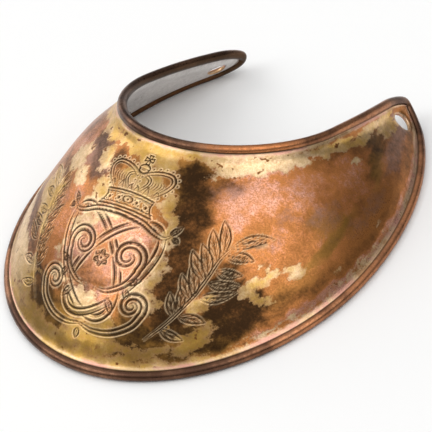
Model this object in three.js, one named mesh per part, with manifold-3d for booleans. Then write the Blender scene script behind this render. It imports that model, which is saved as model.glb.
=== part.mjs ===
// Officer gorget: a crescent plate of raised sheet metal, worn at the throat.
// One sheet runs from horn to horn round the neck, and its edge is rolled over a wire
// all the way round, so plate and bead are one piece. Each horn has one round hole.
// The gorget lies face up on its outer rim: front towards -Y, horns towards +Y, +Z up.
// Lengths are in millimetres, angles in degrees.
import * as THREE from 'three';
import { mergeVertices } from 'three/addons/utils/BufferGeometryUtils.js';
import Module from 'manifold-3d';

// Outer rim in plan, along the middle of the bead: two half ellipses that share one width
const rimHalfWidth = 53.6;
const rimFrontReach = 60.4;
const rimBackReach = 69.2;
const rimEndAngle = 136;

// Neck edge in plan, along the middle of its bead, and where its widest point lies
const neckHalfWidth = 31.6;
const neckFrontReach = 29.0;
const neckBackReach = 69.5;
const neckEndAngle = 112;
const neckSetBack = 22.5;
const neckFrontHeight = 33.9;
const neckHornHeight = 11.1;
const neckFallEvenness = 0.83;

// Horn tips, past the last full section
const tipReach = 8.4;
const tipAcross = 0.33;

// Sheet, rolled bead and holes
const sheetThickness = 0.9;
const beadRadius = 1.35;
const holeRadius = 2.8;
const holeFromTip = 8.6;
const holeAcross = 0.52;

// Crown of the sheet across each section, from the front middle to the horn:
// place along the half, height of the crown as a share of the section's width
const crowning = [
  { place: 0.0, rise: 0.06 },
  { place: 0.45, rise: 0.048 },
  { place: 0.8, rise: 0.03 },
  { place: 1.0, rise: -0.03 },
];

// How finely the surfaces are divided
const bodySections = 22;
const tipSections = 6;
const acrossSections = 10;
const halfSections = bodySections + tipSections;
const beadSides = 8;
const beadSteps = 160;
const holeSides = 24;

const radians = THREE.MathUtils.degToRad;
const lerp = THREE.MathUtils.lerp;

// A point at an angle round two half ellipses with one width, the front one towards -Y
function roundTwoEllipses(halfWidth, frontReach, backReach, middleY, degrees) {
  const angle = radians(degrees);
  const reach = Math.cos(angle) > 0 ? frontReach : backReach;
  return { x: halfWidth * Math.sin(angle), y: middleY - reach * Math.cos(angle) };
}

// Place runs from 0 at the front middle to 1 at the last full section of the horn
function rimPoint(place) {
  const plan = roundTwoEllipses(rimHalfWidth, rimFrontReach, rimBackReach, 0, place * rimEndAngle);
  return new THREE.Vector3(plan.x, plan.y, 0);
}

function neckPoint(place) {
  const plan = (share) =>
    roundTwoEllipses(neckHalfWidth, neckFrontReach, neckBackReach, neckSetBack, share * neckEndAngle);
  const here = plan(place);
  const along = (here.y - plan(0).y) / (plan(1).y - plan(0).y);
  const fall = neckFallEvenness * along + (1 - neckFallEvenness) * along ** 2;
  return new THREE.Vector3(here.x, here.y, lerp(neckFrontHeight, neckHornHeight, fall));
}

// The crown at a place, read smoothly from the table above
function crownAt(place) {
  const later = crowning.findIndex((row, index) => index > 0 && row.place >= place);
  const before = crowning[later - 1];
  const after = crowning[later];
  const share = (place - before.place) / (after.place - before.place);
  return lerp(before.rise, after.rise, THREE.MathUtils.smoothstep(share, 0, 1));
}

// A section runs from the neck edge, across 0, to the outer rim, across 1
function section(place) {
  const neck = neckPoint(place);
  const rim = rimPoint(place);
  const step = 0.01;
  const middle = (at) => neckPoint(at).add(rimPoint(at)).multiplyScalar(0.5);
  const onward = middle(Math.min(place + step, 1)).sub(middle(place - step)).normalize();
  const chord = rim.clone().sub(neck);
  const outward = chord.clone().cross(onward).normalize();
  return { neck, rim, onward, outward, width: chord.length(), rise: crownAt(place) * chord.length() };
}

// The way an edge of the horn runs on past its last section, as far as the tip reaches
function pastHorn(edgePoint) {
  const step = 0.01;
  const onward = edgePoint(1).sub(edgePoint(1 - step));
  return onward.multiplyScalar(tipReach / onward.y);
}

// A point of the sheet's middle surface on the +X half. Along runs from 0 at the front
// middle to 1 at the last full section, and from 1 to 2 round the tip.
function halfSheet(along, across) {
  const place = Math.min(along, 1);
  const { neck, rim, outward, rise } = section(place);
  const turn = radians(90 * (along - place));
  const shrunk = tipAcross + (across - tipAcross) * Math.cos(turn);
  const point = neck.clone().lerp(rim, shrunk);
  point.addScaledVector(outward, rise * (1 - (2 * shrunk - 1) ** 2));
  const toTip = pastHorn(neckPoint).lerp(pastHorn(rimPoint), shrunk);
  return point.addScaledVector(toTip, Math.sin(turn));
}

// The whole sheet is the half and its mirror image
function sheet(along, across) {
  const point = halfSheet(Math.abs(along), across);
  point.x *= Math.sign(along) || 1;
  return point;
}

function sheetNormal(along, across) {
  const step = 0.02;
  const ahead = sheet(along + step, across).sub(sheet(along - step, across));
  const down = sheet(along, Math.min(across + step, 1)).sub(sheet(along, Math.max(across - step, 0)));
  return down.cross(ahead).normalize();
}

// A closed geometry without doubled vertices, ready for booleans
function closed(geometry) {
  geometry.deleteAttribute('normal');
  geometry.deleteAttribute('uv');
  return mergeVertices(geometry);
}

function bend(geometry, place) {
  const position = geometry.attributes.position;
  const vertex = new THREE.Vector3();
  for (let index = 0; index < position.count; index += 1) {
    vertex.fromBufferAttribute(position, index);
    place(vertex);
    position.setXYZ(index, vertex.x, vertex.y, vertex.z);
  }
  return geometry;
}

// Along at a number of sections from the front middle; the tip's share ends at lastTurn
function alongAt(sections, lastTurn) {
  const body = Math.min(Math.abs(sections) / bodySections, 1);
  const tip = Math.max((Math.abs(sections) - bodySections) / tipSections, 0);
  return Math.sign(sections) * (body + lastTurn * tip);
}

// The sheet: a flat slab bent onto the middle surface. Its ends stop just inside the bead.
function sheetSolid() {
  const lastTurn = Math.acos(sheetThickness / section(1).width) / radians(90);
  const slab = closed(new THREE.BoxGeometry(2, 1, 1, 2 * halfSections, acrossSections, 1));
  return bend(slab, (vertex) => {
    const along = alongAt(vertex.x * halfSections, lastTurn);
    const across = 0.5 - vertex.y;
    const point = sheet(along, across);
    vertex.copy(point.addScaledVector(sheetNormal(along, across), vertex.z * sheetThickness));
  });
}

// A place on the edge of the sheet: out along the neck, back along the rim, once round
function edgeFrame(round) {
  const onNeck = round < 0.5;
  const sections = (onNeck ? 4 * round - 1 : 3 - 4 * round) * halfSections;
  const along = alongAt(sections, 1);
  const across = onNeck ? 0 : 1;
  const place = Math.max(-1, Math.min(along, 1));
  const turn = radians(90 * Math.abs(along - place));
  const facing = sheetNormal(place, tipAcross + (across - tipAcross) * Math.cos(turn));
  return { point: sheet(along, across), facing };
}

// The rolled bead: a ring bent so that its middle follows the edge of the sheet
function beadSolid() {
  const ring = closed(new THREE.TorusGeometry(2, 1, beadSides, beadSteps));
  const step = 1 / (4 * beadSteps);
  return bend(ring, (vertex) => {
    const round = (Math.atan2(vertex.y, vertex.x) / (2 * Math.PI) + 1) % 1;
    const { point, facing } = edgeFrame(round);
    const behind = edgeFrame((round + 1 - step) % 1).point;
    const onward = edgeFrame((round + step) % 1).point.sub(behind).normalize();
    const side = onward.clone().cross(facing).normalize();
    const over = side.clone().cross(onward);
    const out = Math.hypot(vertex.x, vertex.y) - 2;
    point.addScaledVector(side, out * beadRadius);
    vertex.copy(point.addScaledVector(over, vertex.z * beadRadius));
  });
}

// A round hole near each tip, square to the sheet there
function holeCutter(side) {
  const tip = sheet(side * 2, 0.5);
  const back = sheet(side, holeAcross).sub(tip).normalize();
  const centre = tip.addScaledVector(back, holeFromTip);
  const normal = sheetNormal(side, holeAcross);
  const cutter = new THREE.CylinderGeometry(holeRadius, holeRadius, 8 * sheetThickness, holeSides);
  const turn = new THREE.Quaternion().setFromUnitVectors(new THREE.Vector3(0, 1, 0), normal);
  cutter.applyQuaternion(turn);
  cutter.translate(centre.x, centre.y, centre.z);
  return closed(cutter);
}

const wasm = await Module();
wasm.setup();

function toSolid(geometry) {
  const vertProperties = new Float32Array(geometry.attributes.position.array);
  const triVerts = new Uint32Array(geometry.index.array);
  return new wasm.Manifold(new wasm.Mesh({ numProp: 3, vertProperties, triVerts }));
}

function toGeometry(solid) {
  const mesh = solid.getMesh();
  const geometry = new THREE.BufferGeometry();
  geometry.setAttribute('position', new THREE.BufferAttribute(mesh.vertProperties, 3));
  geometry.setIndex(new THREE.BufferAttribute(mesh.triVerts, 1));
  return geometry;
}

function gorgetPlate() {
  const joined = toSolid(sheetSolid()).add(toSolid(beadSolid()));
  const drilled = joined.subtract(toSolid(holeCutter(1))).subtract(toSolid(holeCutter(-1)));
  const geometry = toGeometry(drilled);
  geometry.computeBoundingBox();
  const box = geometry.boundingBox;
  geometry.translate(0, -(box.min.y + box.max.y) / 2, -box.min.z);
  return geometry;
}

const giltCopper = new THREE.MeshStandardMaterial({ color: 0xb07a45, roughness: 0.36, metalness: 1.0 });
const plate = new THREE.Mesh(gorgetPlate(), giltCopper);
plate.name = 'gorget_plate';

const group = new THREE.Group();
group.add(plate);

export default group;
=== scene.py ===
"""Officer gorget: the engraved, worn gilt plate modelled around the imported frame, with its stage."""

import math

import bmesh
import bpy
import numpy as np
from mathutils import Matrix, Vector


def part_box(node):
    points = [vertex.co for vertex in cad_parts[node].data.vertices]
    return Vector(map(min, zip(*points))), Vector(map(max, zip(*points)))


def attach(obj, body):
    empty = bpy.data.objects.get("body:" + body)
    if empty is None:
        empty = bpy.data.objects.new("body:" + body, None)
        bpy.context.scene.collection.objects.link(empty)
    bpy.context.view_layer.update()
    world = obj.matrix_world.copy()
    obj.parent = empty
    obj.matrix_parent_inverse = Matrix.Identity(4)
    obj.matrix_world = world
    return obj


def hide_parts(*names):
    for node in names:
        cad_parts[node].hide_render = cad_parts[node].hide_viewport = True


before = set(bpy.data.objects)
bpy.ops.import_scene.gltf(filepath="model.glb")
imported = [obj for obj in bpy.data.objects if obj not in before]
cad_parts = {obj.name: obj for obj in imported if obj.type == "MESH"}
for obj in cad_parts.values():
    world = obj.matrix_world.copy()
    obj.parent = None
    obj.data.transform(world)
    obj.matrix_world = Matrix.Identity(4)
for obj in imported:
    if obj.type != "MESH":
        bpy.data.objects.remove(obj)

bl_info = {
    "name": "Officer Gorget",
    "version": (1, 0, 0),
    "blender": (4, 5, 0),
    "location": "3D View > Sidebar > Gorget",
    "description": "Builds an engraved, worn gilt officer gorget and a plain stage for it",
    "category": "Add Mesh",
}

PLATE_NODE = "gorget_plate"
PIECE_NAME = "engraved_gorget_plate"
MM = 0.001

# How far apart two places lie that give the direction between them
STEP = 0.01

# Crown of the sheet from the front middle to the horn: place, height as a share of the width
CROWNING = [(0.0, 0.06), (0.45, 0.048), (0.8, 0.03), (1.0, -0.03)]


# The form of the plate

class PlateForm:
    """The sheet's surface and its rolled edge. Lengths are in millimetres.
    Along runs from 0 at the front middle to 1 at the last full section and 2 at the tip,
    negative on the left; across runs from 0 at the neck edge to 1 at the outer rim."""

    def __init__(self, sizes, box):
        self.sizes = sizes
        self.thickness = sizes.sheet_thickness / MM
        self.bead = sizes.bead_radius / MM
        self.rim_front = sizes.rim_front_reach / MM
        self.tip_reach = sizes.tip_reach / MM
        low = box[0] / MM
        self.shift = np.array([0.0, low.y + self.rim_front + self.bead, low.z + self.bead])
        self.crease_angle = math.asin(self.thickness / 2 / self.bead)
        self.crease_reach = self.bead * math.cos(self.crease_angle)

    def ellipse(self, half_width, front, back, middle, angle):
        """A place in plan round two half ellipses of one width, the front one towards -Y."""
        reach = np.where(np.cos(angle) > 0, front, back)
        return half_width * np.sin(angle), middle - reach * np.cos(angle)

    def rim(self, place):
        s = self.sizes
        x, y = self.ellipse(s.rim_half_width / MM, self.rim_front, s.rim_back_reach / MM, 0.0,
                            place * s.rim_end_angle)
        return np.stack([x, y, 0 * x], -1)

    def neck(self, place):
        s = self.sizes
        front_y = (s.neck_set_back - s.neck_front_reach) / MM
        angles = place * s.neck_end_angle
        widths = (s.neck_half_width / MM, s.neck_front_reach / MM, s.neck_back_reach / MM,
                  s.neck_set_back / MM)
        x, y = self.ellipse(*widths, angles)
        end_y = self.ellipse(*widths, np.asarray(s.neck_end_angle))[1]
        share = (y - front_y) / (end_y - front_y)
        fall = s.neck_fall_evenness * share + (1 - s.neck_fall_evenness) * share ** 2
        high, low = s.neck_front_height / MM, s.neck_horn_height / MM
        return np.stack([x, y, high + (low - high) * fall], -1)

    def crown(self, place):
        """Height of the sheet's crown, read smoothly from the table."""
        rise = np.zeros_like(place)
        for (start, before), (end, after) in zip(CROWNING, CROWNING[1:]):
            share = smooth(place, start, end)
            within = (place >= start) & (place <= end)
            rise = np.where(within, before + (after - before) * share, rise)
        return rise

    def section(self, place):
        """Neck point, rim point, the way out of the front, and the width between the edges."""
        neck, rim = self.neck(place), self.rim(place)
        after, before = np.minimum(place + STEP, 1), place - STEP
        onward = self.neck(after) + self.rim(after) - (self.neck(before) + self.rim(before))
        chord = rim - neck
        outward = unit(np.cross(chord, unit(onward)))
        return neck, rim, outward, np.linalg.norm(chord, axis=-1)

    def past_horn(self, edge):
        """The way an edge of the horn runs on past its last section."""
        onward = edge(np.array(1.0)) - edge(np.array(1.0 - STEP))
        return onward * self.tip_reach / onward[1]

    def round_tip(self, along):
        """The place of the section, and the angle past the last one round the tip."""
        length = np.abs(along)
        place = np.minimum(length, 1.0)
        return place, (length - place) * math.pi / 2

    def drawn_in(self, across, turn):
        """Across, drawn in towards the tip's middle as the tip rounds off."""
        apex = self.sizes.tip_across
        return apex + (across - apex) * np.cos(turn)

    def middle(self, along, across, tip_share=1.0):
        """Points of the sheet's middle surface."""
        place, turn = self.round_tip(along)
        neck, rim, outward, width = self.section(place)
        shrunk = self.drawn_in(across, turn)
        rise = self.crown(place) * width * (1 - (2 * shrunk - 1) ** 2)
        point = neck + (rim - neck) * shrunk[..., None] + outward * rise[..., None]
        start, end = self.past_horn(self.neck), self.past_horn(self.rim)
        to_tip = start + (end - start) * shrunk[..., None]
        point = point + to_tip * (np.sin(turn) * tip_share)[..., None]
        point[..., 0] *= side_of(along)
        return point

    def normal(self, along, across):
        """Unit normals of the middle surface, out of the front face."""
        ahead = self.middle(along + STEP, across) - self.middle(along - STEP, across)
        down = (self.middle(along, np.minimum(across + STEP, 1))
                - self.middle(along, np.maximum(across - STEP, 0)))
        return unit(np.cross(down, ahead))

    def width_at(self, along):
        place, turn = self.round_tip(along)
        return self.section(place)[3] * np.cos(turn)

    def inset(self, along, across):
        """Across and tip share for the sheet between the creases, where its rolled edge starts."""
        width = np.maximum(self.section(self.round_tip(along)[0])[3], self.bead)
        lost = self.crease_reach / width
        return lost + (1 - 2 * lost) * across, 1 - self.crease_reach / self.tip_reach

    def edge_frames(self, along, across):
        """Centres of the rolled edge, with the directions into the sheet and out of its front."""
        edge = np.where(across < 0.5, 0.0, 1.0)
        onward = (self.middle(np.minimum(along + STEP, 2), edge)
                  - self.middle(np.maximum(along - STEP, -2), edge))
        onward = unit(onward * np.where(edge < 0.5, 1.0, -1.0)[..., None])
        place, turn = self.round_tip(along)
        facing = self.normal(place * side_of(along), self.drawn_in(edge, turn))
        inner = unit(np.cross(onward, facing))
        return self.middle(along, edge), inner, np.cross(inner, onward)


def side_of(along):
    """1 on the right half and -1 on the left."""
    return np.where(along < 0, -1.0, 1.0)


def unit(vectors):
    lengths = np.linalg.norm(vectors, axis=-1, keepdims=True)
    return vectors / np.maximum(lengths, 1e-9)


def smooth(value, low, high):
    """0 up to low, 1 from high on, and an even curve between them."""
    share = np.clip((value - low) / (high - low), 0, 1)
    return share * share * (3 - 2 * share)


# The flat blank: every vertex lies at (along, across, -layer) until the plate is formed

COLUMNS_BODY = 100
COLUMNS_TIP = 14
ROWS = 50
ROW_CROWDING = 0.35
BEAD_RINGS = 18
SHEET_HEIGHT = 64.2
HOLE_CUTS = 3
HOLE_MARGIN = 2.2
ORNAMENT_CUTS = 4

# How near two places count as one: on the outline, at the tip, in a layer, and to weld
EDGE_GAP = 1e-6
TIP_ALONG = 1.999
LAYER_GAP = 1e-4
WELD_GAP = 1e-5


def blank_sheet(apex):
    """A grid over the whole plate whose two ends are drawn together into the tips."""
    bm = bmesh.new()
    columns = 2 * (COLUMNS_BODY + COLUMNS_TIP)
    bmesh.ops.create_grid(bm, x_segments=columns, y_segments=ROWS, size=1.0)
    half_columns = columns / 2
    for vert in bm.verts:
        count = abs(vert.co.x) * half_columns
        along = min(count / COLUMNS_BODY, 1) + max((count - COLUMNS_BODY) / COLUMNS_TIP, 0)
        across = 0.5 - vert.co.y / 2
        across -= ROW_CROWDING * math.sin(2 * math.pi * across) / (2 * math.pi)
        if along > TIP_ALONG:
            along, across = 2.0, apex
        vert.co = (math.copysign(along, vert.co.x), across, 0)
    bmesh.ops.remove_doubles(bm, verts=bm.verts, dist=WELD_GAP)
    return bm


def flat_coordinates(elements):
    spots = [e.co if isinstance(e, bmesh.types.BMVert) else e.calc_center_median() for e in elements]
    return np.array(spots).reshape(-1, 3)


def on_outline(along, across):
    """Whether places of the blank, numbers or arrays, lie on its outline."""
    return (across < EDGE_GAP) | (across > 1 - EDGE_GAP) | (abs(along) > TIP_ALONG)


def outer_edges(bm, layer_z):
    """Boundary edges of one layer that lie on its outline."""
    return [e for e in bm.edges if e.is_boundary
            and all(abs(v.co.z - layer_z) < LAYER_GAP and on_outline(*v.co.xy) for v in e.verts)]


def roll_edge(bm):
    """Carries the outline round the bead, one ring of faces at a time."""
    loop = outer_edges(bm, 0.0)
    for _ in range(BEAD_RINGS):
        made = bmesh.ops.extrude_edge_only(bm, edges=loop)["geom"]
        verts = [g for g in made if isinstance(g, bmesh.types.BMVert)]
        fresh = set(verts)
        loop = [g for g in made if isinstance(g, bmesh.types.BMEdge) and set(g.verts) <= fresh]
        bmesh.ops.translate(bm, vec=(0, 0, -1), verts=verts)


def hole_centres(form):
    """Centre and axis of each lacing hole, right one first."""
    sizes = form.sizes
    found = []
    for side in (1.0, -1.0):
        tip = form.middle(np.array(2 * side), np.array(0.5))
        back = form.middle(np.array(side), np.array(sizes.hole_across))
        centre = tip + unit(back - tip) * sizes.hole_from_tip / MM
        found.append((centre, form.normal(np.array(side), np.array(sizes.hole_across))))
    return found


def from_axis(points, centre, axis):
    """Distances of points from the line through a centre."""
    offset = points - centre
    height = offset @ axis
    return np.linalg.norm(offset - height[..., None] * axis, axis=-1)


def place_on_sheet(form, flat):
    """Points of the middle surface for places of the blank."""
    across, tip_share = form.inset(flat[:, 0], flat[:, 1])
    return form.middle(flat[:, 0], across, tip_share)


def faces_within(bm, form, hole, radius):
    """Faces whose middles lie nearer to a hole's axis than the radius."""
    faces = list(bm.faces)
    reach = from_axis(place_on_sheet(form, flat_coordinates(faces)), *hole)
    return [f for f, far in zip(faces, reach)
            if far < radius and f.calc_center_median().x * hole[0][0] > 0]


def pierce_holes(bm, form, holes):
    """Cuts the holes' outlines finely into the blank and takes their faces out."""
    radius = form.sizes.hole_radius / MM
    for hole in holes:
        near = faces_within(bm, form, hole, radius + HOLE_MARGIN)
        edges = list({e for f in near for e in f.edges})
        bmesh.ops.subdivide_edges(bm, edges=edges, cuts=HOLE_CUTS, use_grid_fill=True)
        inside = faces_within(bm, form, hole, radius)
        bmesh.ops.delete(bm, geom=inside, context="FACES")


def hole_edges(bm, layer_z, side):
    """The border of one layer's hole on the side given as 1 or -1."""
    outline = set(outer_edges(bm, layer_z))
    return [e for e in bm.edges if e.is_boundary and e not in outline
            and all(abs(v.co.z - layer_z) < LAYER_GAP and v.co.x * side > 0 for v in e.verts)]


def double_and_close(bm):
    """Adds the back of the sheet, rolls the edge round to it and walls the holes."""
    copied = bmesh.ops.duplicate(bm, geom=bm.verts[:] + bm.edges[:] + bm.faces[:])["geom"]
    back = [g for g in copied if isinstance(g, bmesh.types.BMVert)]
    back_faces = [g for g in copied if isinstance(g, bmesh.types.BMFace)]
    bmesh.ops.reverse_faces(bm, faces=back_faces)
    bmesh.ops.translate(bm, vec=(0, 0, -BEAD_RINGS), verts=back)
    roll_edge(bm)
    last = [v for v in bm.verts if abs(v.co.z + BEAD_RINGS) < LAYER_GAP]
    bmesh.ops.remove_doubles(bm, verts=last, dist=WELD_GAP)
    for side in (1.0, -1.0):
        rims = hole_edges(bm, 0.0, side) + hole_edges(bm, -float(BEAD_RINGS), side)
        bmesh.ops.bridge_loops(bm, edges=rims)


# Engraving

# How far from a line its cut and burr reach, and how far out the faces are divided for it
CUT_REACH = 1.8
FINE_REACH = 1.2

# The burr: its place and width in half widths of the cut, its height as a share of the depth
BURR_PLACE = 1.5
BURR_WIDTH = 0.4
BURR_HEIGHT = 0.2
LEAST_HALF_WIDTH = 0.05


class Chart:
    """The front unrolled as a cone: millimetres across and down from the neck edge's middle."""

    def __init__(self, form):
        sizes = form.sizes
        neck_speed = sizes.neck_half_width / MM * sizes.neck_end_angle
        rim_speed = sizes.rim_half_width / MM * sizes.rim_end_angle
        self.width = SHEET_HEIGHT
        self.start = self.width * neck_speed / (rim_speed - neck_speed)
        self.turn = rim_speed / (self.start + self.width)

    def spot(self, along, across):
        radius = self.start + self.width * across
        angle = self.turn * along
        return np.stack([radius * np.sin(angle), radius * np.cos(angle) - self.start], -1)


def engraved(spots, cuts):
    """Groove depth and raised burr at chart spots, as shares, and the distance to a line."""
    groove, burr = np.zeros(len(spots)), np.zeros(len(spots))
    distance = np.full(len(spots), np.inf)
    order = np.argsort(spots[:, 0])
    sorted_x = spots[order, 0]
    for item in cuts:
        line = item["line"]
        low, high = line.min(0) - CUT_REACH, line.max(0) + CUT_REACH
        near = order[np.searchsorted(sorted_x, low[0]):np.searchsorted(sorted_x, high[0])]
        near = near[(spots[near, 1] > low[1]) & (spots[near, 1] < high[1])]
        if not len(near):
            continue
        start, span = line[:-1], np.diff(line, axis=0)
        offset = spots[near][:, None] - start[None]
        share = np.clip((offset * span).sum(2) / np.maximum((span ** 2).sum(1), 1e-9), 0, 1)
        gap = np.linalg.norm(offset - share[..., None] * span, axis=2)
        nearest = gap.argmin(1)
        gap = gap.min(1)
        ratio = gap / np.maximum(item["half"][nearest], LEAST_HALF_WIDTH)
        depth = item["depth"][nearest] * 0.5 * (1 + np.cos(math.pi * np.minimum(ratio, 1)))
        ridge = item["depth"][nearest] * np.exp(-((ratio - BURR_PLACE) / BURR_WIDTH) ** 2)
        groove[near] = np.maximum(groove[near], depth)
        burr[near] = np.maximum(burr[near], ridge)
        distance[near] = np.minimum(distance[near], gap)
    return groove, burr * (1 - np.minimum(groove * 2, 1)), distance


def refine_ornament(bm, chart, cuts):
    """Divides the front's faces finely wherever a line is engraved."""
    front = [f for f in bm.faces if all(v.co.z > -0.5 for v in f.verts)]
    middles = flat_coordinates(front)
    distance = engraved(chart.spot(middles[:, 0], middles[:, 1]), cuts)[2]
    wanted = [f for f, gap in zip(front, distance) if gap < FINE_REACH]
    edges = list({e for f in wanted for e in f.edges})
    bmesh.ops.subdivide_edges(bm, edges=edges, cuts=ORNAMENT_CUTS, use_grid_fill=True)


# Forming: the blank's coordinates become places on the plate

# The seam of the rolled edge: degrees round the bead, half width in degrees, share of its radius
SEAM_ANGLE = 318
SEAM_WIDTH = 9
SEAM_DEPTH = 0.1

# How far out from a hole the sheet is pressed in, in millimetres
DISH_REACH = 0.9

# The hollows beside the beads, in millimetres or as a share of the sheet's width there
FLARE_SHARE = 0.16
FLARE_RUN_SHARE = 0.45
RIM_HOLLOW_WIDTH = 1.3
RIM_HOLLOW_SHARE = 0.07
RIM_HOLLOW_RUN = 4
FULL_RELIEF_WIDTH = 20

# Where normals are last taken towards the tip, past which the sheet turns too tightly
LAST_NORMAL = 1.97

# Rubbing beside the beads and round the holes: how far it reaches, in millimetres, how much
# farther at the right rim, how much of it is lost at the tip, and its strength at a hole. Beside
# the beads the front shows it as a pale line that is partly a painted highlight, and right at
# the beads as painted shade.
RUB_REACH = 0.7
RUB_REACH_RIGHT = 0.5
RUB_LOST_AT_TIP = 0.3
HOLE_RUB_REACH = 0.6
HOLE_RUB = 0.55

# Numbers of the plate's material slots
FRONT, BEAD, BACK = range(3)


def relief(form, flat, across):
    """How far the sheet stands off its plain form, in millimetres: the flare to the neck bead
    and the hollow along the rim, both narrower where the sheet is narrow."""
    sizes = form.sizes
    width = form.width_at(flat[:, 0])
    from_neck = np.maximum(across * width - form.crease_reach, 0)
    from_rim = np.maximum((1 - across) * width - form.crease_reach, 0)
    turn_share = np.clip(2 - np.abs(flat[:, 0]), 0, 1)
    near = np.minimum(sizes.flare_width / MM, FLARE_SHARE * width) + 1e-3
    far = np.minimum(sizes.flare_run / MM, FLARE_RUN_SHARE * width) + 2e-3
    flare = smooth(from_neck, 0, near) * (1 - smooth(from_neck, near, far))
    near = np.minimum(RIM_HOLLOW_WIDTH, RIM_HOLLOW_SHARE * width) + 1e-3
    hollow = smooth(from_rim, 0, near) * (1 - smooth(from_rim, near, RIM_HOLLOW_RUN * near))
    depth = flare * sizes.flare_depth / MM + hollow * sizes.fillet_depth / MM
    return -depth * turn_share * np.minimum(width / FULL_RELIEF_WIDTH, 1)


def dished(form, points):
    """How deep the sheet is pressed in round its lacing holes, in millimetres."""
    radius = form.sizes.hole_radius / MM
    depth = np.zeros(len(points))
    for centre, axis in hole_centres(form):
        from_edge = np.maximum(from_axis(points, centre, axis) - radius, 0)
        depth += form.sizes.hole_dish / MM * np.exp(-(from_edge / DISH_REACH) ** 2)
    return depth


# Old dents: along and across in hundredths, radius and depth in millimetres
DENTS = [
    (52, 60, 6.5, 0.16), (66, 44, 5, -0.12), (38, 80, 5.5, 0.14), (78, 66, 5, 0.14),
    (30, 33, 7, -0.1), (-34, 44, 6, 0.15), (-58, 64, 6.5, 0.16), (-76, 40, 5, 0.12),
    (12, 93, 5, 0.1), (90, 30, 4, 0.1),
]


def dented(flat):
    """How deep the old dents are at each place, in millimetres."""
    depth = np.zeros(len(flat))
    for along, across, radius, deep in DENTS:
        far = np.hypot(flat[:, 0] * 100 - along, (flat[:, 1] * 100 - across) * SHEET_HEIGHT / 100)
        depth += deep * np.exp(-(far / radius) ** 2)
    return depth


def formed(form, flat, groove):
    """Points for flat coordinates: layer 0 is the front, the last layer the back."""
    layer = -flat[:, 2]
    is_front = layer < 0.5
    is_back = layer > BEAD_RINGS - 0.5
    across, tip_share = form.inset(flat[:, 0], flat[:, 1])
    middle = form.middle(flat[:, 0], across, tip_share)
    normal = form.normal(np.clip(flat[:, 0], -LAST_NORMAL, LAST_NORMAL), across)
    offset = relief(form, flat, across) - dished(form, middle) - dented(flat)
    offset = offset + np.where(is_back, -1, 1) * form.thickness / 2 - np.where(is_front, groove, 0)
    points = middle + normal * offset[:, None]
    rolled = on_outline(flat[:, 0], flat[:, 1]) | ~(is_front | is_back)
    centre, inner, over = form.edge_frames(flat[rolled, 0], flat[rolled, 1])
    sweep = 2 * math.pi - 2 * form.crease_angle
    angle = form.crease_angle + sweep * layer[rolled] / BEAD_RINGS
    seam = np.exp(-((np.degrees(angle) - SEAM_ANGLE) / SEAM_WIDTH) ** 2)
    radius = form.bead * (1 - SEAM_DEPTH * seam)
    ring = inner * (radius * np.cos(angle))[:, None] + over * (radius * np.sin(angle))[:, None]
    points[rolled] = centre + ring
    return (points + form.shift) * MM


def sort_faces(bm):
    """Gives front, bead and back their materials, all smooth, and tags the hole walls."""
    for face in bm.faces:
        face.smooth = True
        layers = [-v.co.z for v in face.verts]
        face.tag = max(layers) - min(layers) > BEAD_RINGS - 0.5
        if face.tag or max(layers) < 0.5:
            face.material_index = FRONT
        elif min(layers) > BEAD_RINGS - 0.5:
            face.material_index = BACK
        else:
            face.material_index = BEAD


def surface_fields(form, chart, cuts, flat):
    """What the materials read at each vertex: wear, tarnish and stains, some of them partly painted
    highlight and shade, lines, nearness to the creases for rubbing and for painted highlight and
    shade, place on the bead.
    """
    along, across, layer = flat[:, 0], flat[:, 1], -flat[:, 2]
    front = layer < 0.5
    groove, burr, _ = engraved(chart.spot(along, across), cuts)
    inset_across, _ = form.inset(along, across)
    width = form.width_at(along)
    gap = np.maximum(np.minimum(inset_across, 1 - inset_across) * width - form.crease_reach, 0)
    reach = RUB_REACH + RUB_REACH_RIGHT * smooth(along, 0.2, 0.45) * (across > 0.5)
    rubbed = np.exp(-gap / reach) * (1 - RUB_LOST_AT_TIP * smooth(np.abs(along), 1.1, 1.7))
    points = place_on_sheet(form, flat)
    from_hole = np.min([from_axis(points, *hole) for hole in hole_centres(form)], 0)
    past_edge = np.maximum(from_hole - form.sizes.hole_radius / MM, 0)
    worn_hole = HOLE_RUB * np.exp(-past_edge / HOLE_RUB_REACH)
    fields = {name: patch_field(along, across, patches) for name, patches in PATCHES.items()}
    fields["groove"] = groove * front
    fields["burr"] = burr * front
    fields["crease"] = np.maximum(rubbed, worn_hole)
    fields["roll"] = layer / BEAD_RINGS
    return fields


def snap_holes(bm, form, holes):
    """Draws the stepped hole borders onto their true circles."""
    radius = form.sizes.hole_radius
    for centre, axis in holes:
        middle = Vector((centre + form.shift) * MM)
        line = Vector(axis)
        for vert in bm.verts:
            if not any(f.tag for f in vert.link_faces):
                continue
            offset = vert.co - middle
            if offset.length > 2 * radius:
                continue
            height = offset.dot(line)
            out = (offset - line * height).normalized()
            vert.co = middle + line * height + out * radius


# The ornament, drawn in chart millimetres: x to the right, y down from the neck edge

ORNAMENT_MIDDLE = -1.5
SCROLL_MIDDLE = -2.0
MAIN_CUT = 0.42
FINE_CUT = 0.3
DOT_CUT = 0.42


def curve(points, closed=False, steps=10):
    """A smooth line through the points, as an array of spots."""
    spots = [np.array(p, float) for p in points]
    count = len(spots)
    line = []
    for index in range(count if closed else count - 1):
        here, after = spots[index], spots[(index + 1) % count]
        before = spots[index - 1] if closed or index else 2 * here - after
        beyond = spots[(index + 2) % count] if closed or index + 2 < count else 2 * after - here
        for step in range(steps):
            t = step / steps
            line.append(0.5 * (2 * here + (after - before) * t
                               + (2 * before - 5 * here + 4 * after - beyond) * t ** 2
                               + (3 * here - before - 3 * after + beyond) * t ** 3))
    line.append(spots[0] if closed else spots[-1])
    return np.array(line)


def sideways(line):
    """Unit vectors square to the line at each of its spots."""
    onward = np.gradient(line, axis=0)
    onward /= np.maximum(np.linalg.norm(onward, axis=1, keepdims=True), 1e-9)
    return np.stack([-onward[:, 1], onward[:, 0]], -1)


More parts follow.
